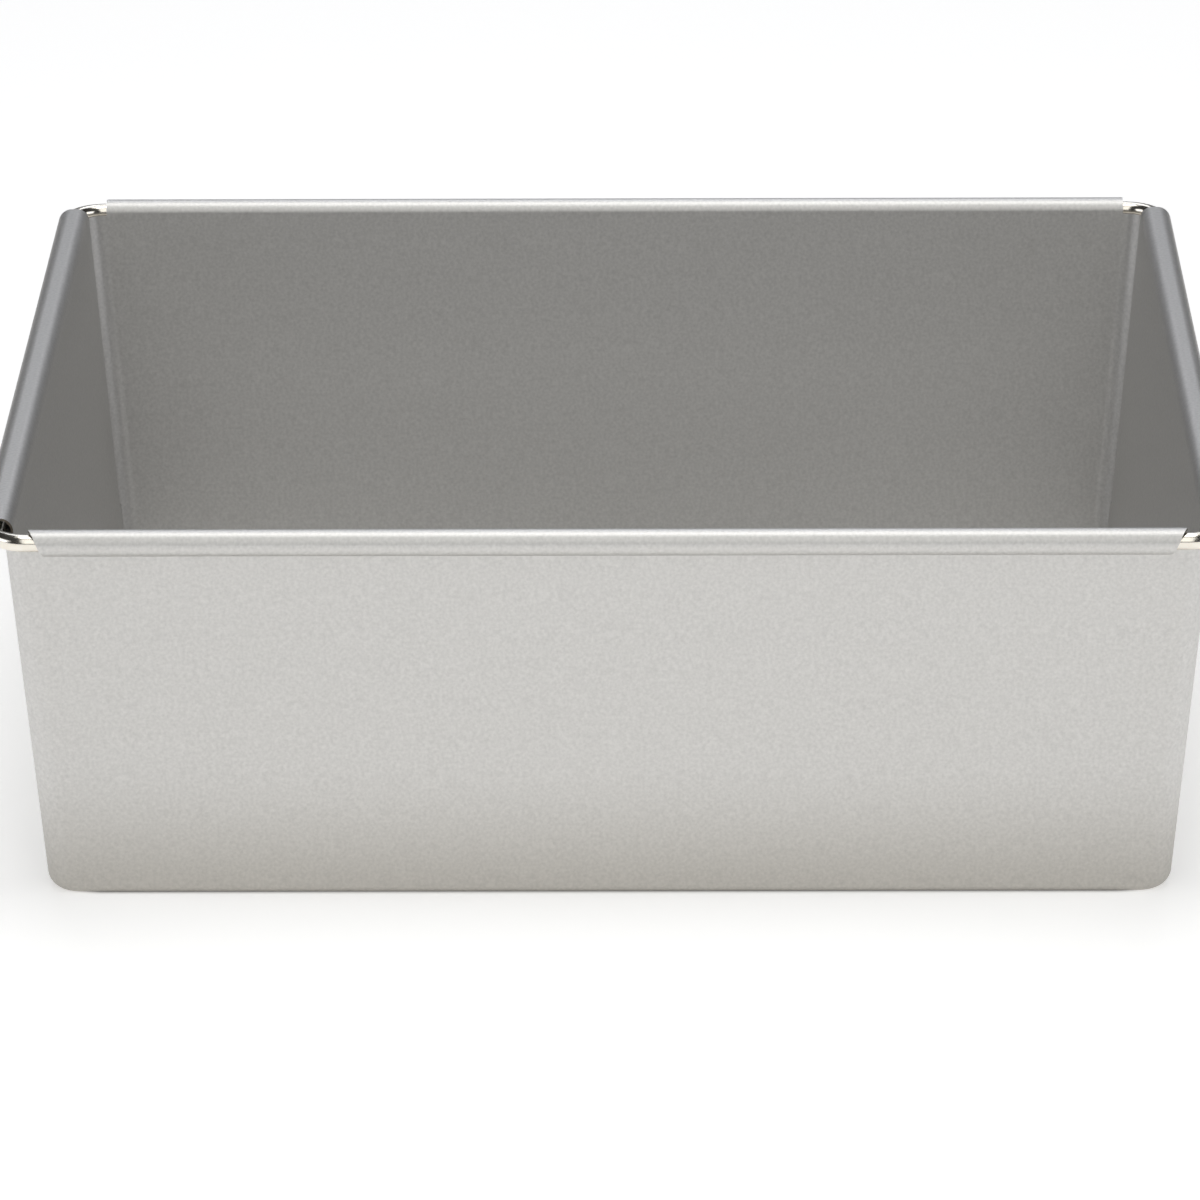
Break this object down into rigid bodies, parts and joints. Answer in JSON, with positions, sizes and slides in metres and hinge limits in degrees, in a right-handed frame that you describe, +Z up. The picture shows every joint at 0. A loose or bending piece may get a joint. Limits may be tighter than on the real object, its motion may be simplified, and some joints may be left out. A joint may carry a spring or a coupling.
{
  "type": "square cake pan",
  "caption": "Square straight-sided cake pan folded from coated sheet steel, with leaning walls, folded corner ears and a rolled rim over a steel wire that shows at the notched corners.",
  "frame": {"origin": "middle of the underside of the base, on the surface that the pan stands on", "axes": "+Z up out of the open mouth; +Y towards the back plain wall; +X towards the right wall, which carries two folded ears"},
  "size_m": [0.2144, 0.212, 0.0688],
  "materials": {
    "coated_steel": "satin silver-grey metallic non-stick coating with a fine speckle",
    "plated_wire": "smooth bright plated rod with a warm tint"
  },
  "bodies": {
    "root": {"pan_body": "coated_steel", "rim_wire": "plated_wire"}
  },
  "joints": []
}
